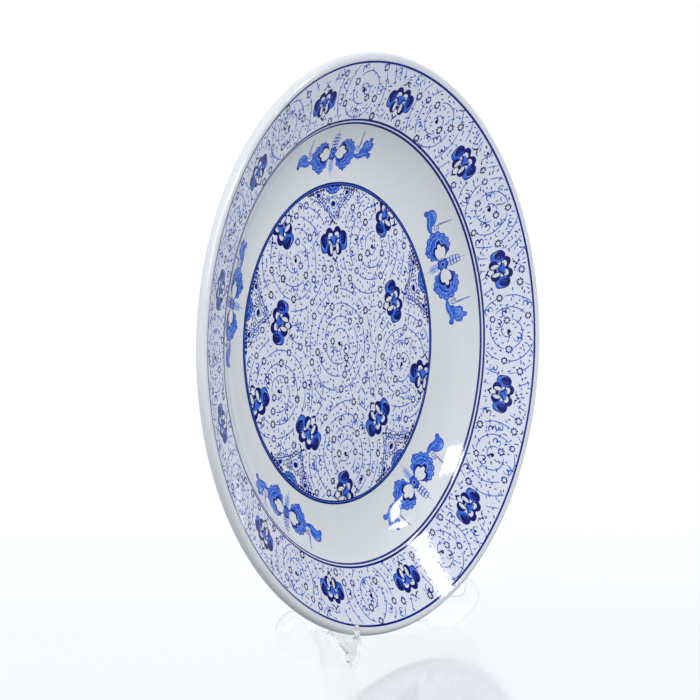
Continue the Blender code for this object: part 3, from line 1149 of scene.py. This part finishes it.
def seen_directly(tree):
    """1 for what the camera sees, straight or through the acrylic; 0 for what only lights and reflects."""
    path = add(tree, "ShaderNodeLightPath")
    rays = {0: path.outputs["Is Camera Ray"], 1: path.outputs["Is Transmission Ray"]}
    return add(tree, "ShaderNodeMath", rays, operation="MAXIMUM").outputs["Value"], path


def make_floor():
    """A pale, polished floor that melts into the white surround."""
    bm = bmesh.new()
    bmesh.ops.create_circle(bm, cap_ends=True, radius=FLOOR_RADIUS, segments=96)
    mesh = bpy.data.meshes.new("floor")
    bm.to_mesh(mesh)
    bm.free()
    floor = placed("floor", mesh)
    floor.location.z = -FLOOR_DROP
    material, tree, shader = new_material("pale_floor")
    seen, path = seen_directly(tree)
    bounce = multiply_add(tree, path.outputs["Is Diffuse Ray"], FLOOR_BOUNCE)
    feed(tree, shader, {
        "Base Color": blend_colours(tree, clouds(tree, 3.0, 3.0), *FLOOR_GREYS),
        "Roughness": 0.10,
        "IOR": 1.80,
        "Emission Color": FLOOR_GLOW_COLOUR,
        "Emission Strength": multiply_add(tree, seen, FLOOR_GLOW, bounce),
    })
    place = add(tree, "ShaderNodeNewGeometry").outputs["Position"]
    away = (sin(CAMERA_HEADING), cos(CAMERA_HEADING), 0.0)
    behind = add(tree, "ShaderNodeVectorMath", {0: place, 1: away}, operation="DOT_PRODUCT").outputs["Value"]
    melt = multiply_add(tree, remap(tree, behind, *FLOOR_FADE), seen)
    white = add(tree, "ShaderNodeEmission", {"Color": (*WHITE, 1), "Strength": 1.0}).outputs["Emission"]
    mix = add(tree, "ShaderNodeMixShader", {0: melt, 1: shader.outputs["BSDF"], 2: white})
    feed(tree, tree.nodes["Material Output"], {"Surface": mix.outputs["Shader"]})
    mesh.materials.append(material)


def make_world():
    """White to look at; for light, an even dome with a bright backdrop behind the platter.

    Reflections in the glaze see one dark corner of the room, so that the cobalt keeps its depth.
    """
    world = bpy.data.worlds.new("studio")
    bpy.context.scene.world = world
    world.use_nodes = True
    tree = world.node_tree
    direction = add(tree, "ShaderNodeTexCoord").outputs["Generated"]

    def towards(aim, start, end):
        """0 beyond one angle from a direction, 1 within another."""
        aim = Vector(aim).normalized()
        level = add(tree, "ShaderNodeVectorMath", {0: direction, 1: aim}, operation="DOT_PRODUCT")
        low, high = (cos(radians(angle)) for angle in (start, end))
        return remap(tree, level.outputs["Value"], low, high, interpolation_type="SMOOTHSTEP")

    def pick(factor, first, second):
        given = {"Factor": factor, "A": first, "B": second}
        return add(tree, "ShaderNodeMix", given, data_type="FLOAT").outputs["Result"]

    backdrop = towards(*BACKDROP)
    open_room = multiply_add(tree, towards(*DARK_CORNER), -GLOSS_OPEN, GLOSS_OPEN + GLOSS_DARK)
    gloss = multiply_add(tree, backdrop, BACKDROP_GLOSS, open_room)
    around = multiply_add(tree, backdrop, BACKDROP_GLOW, DOME)
    lighting = multiply_add(tree, towards(*SIDE_WALL), SIDE_GLOW, around)
    seen, path = seen_directly(tree)
    unseen = pick(path.outputs["Is Glossy Ray"], lighting, gloss)
    feed(tree, tree.nodes["Background"], {
        "Strength": pick(seen, unseen, 1.0),
        "Color": blend_colours(tree, seen, DOME_COLOUR, WHITE),
    })


def lit_by_lamps():
    """Everything but the floor, which would otherwise mirror the lamps as burnt patches."""
    group = bpy.data.collections.new("lit_by_lamps")
    for obj in bpy.context.scene.objects:
        if obj.type == "MESH" and obj.name != "floor":
            group.objects.link(obj)
    return group


def make_lamps():
    """A large key lamp, and three softboxes placed by where the eating surface mirrors them."""
    lit = lit_by_lamps()

    def softbox(name, target, ray, width, height, roll, radiance):
        data = bpy.data.lights.new(name, "AREA")
        data.shape = "RECTANGLE"
        data.size, data.size_y = width, height
        data.energy = radiance * pi * width * height
        lamp = placed(name, data)
        lamp.location = target + ray * LAMP_DISTANCE
        aim = (target - lamp.location).to_track_quat("-Z", "Y")
        lamp.rotation_mode = "QUATERNION"
        lamp.rotation_quaternion = aim @ Quaternion((0, 0, 1), radians(roll))
        lamp.visible_camera = False
        lamp.light_linking.receiver_collection = lit

    softbox("key", CENTRE, Vector(KEY_DIRECTION).normalized(), KEY_WIDTH, KEY_WIDTH, 0, KEY_RADIANCE)
    for name, spot, *settings in GLINTS:
        place, normal = on_face(*spot)
        eye = (bpy.context.scene.camera.location - place).normalized()
        softbox(name, place, 2 * normal.dot(eye) * normal - eye, *settings)


def make_camera():
    away = Vector((-sin(CAMERA_HEADING) * cos(CAMERA_HEIGHT),
                   -cos(CAMERA_HEADING) * cos(CAMERA_HEIGHT),
                   sin(CAMERA_HEIGHT)))
    data = bpy.data.cameras.new("camera")
    data.sensor_width = CAMERA_SENSOR
    data.lens = CAMERA_LENS
    data.clip_start, data.clip_end = CAMERA_CLIP
    camera = placed("camera", data)
    rotation = (-away).to_track_quat("-Z", "Y")
    right, up = rotation @ Vector((1, 0, 0)), rotation @ Vector((0, 1, 0))
    aim = CENTRE + right * CAMERA_AIM[0] + up * CAMERA_AIM[1]
    camera.location = aim + away * CAMERA_DISTANCE
    camera.rotation_mode = "QUATERNION"
    camera.rotation_quaternion = rotation
    bpy.context.scene.camera = camera


make_floor()
make_world()
make_camera()
bpy.context.view_layer.update()
make_lamps()
bpy.context.scene.view_settings.view_transform = "Standard"
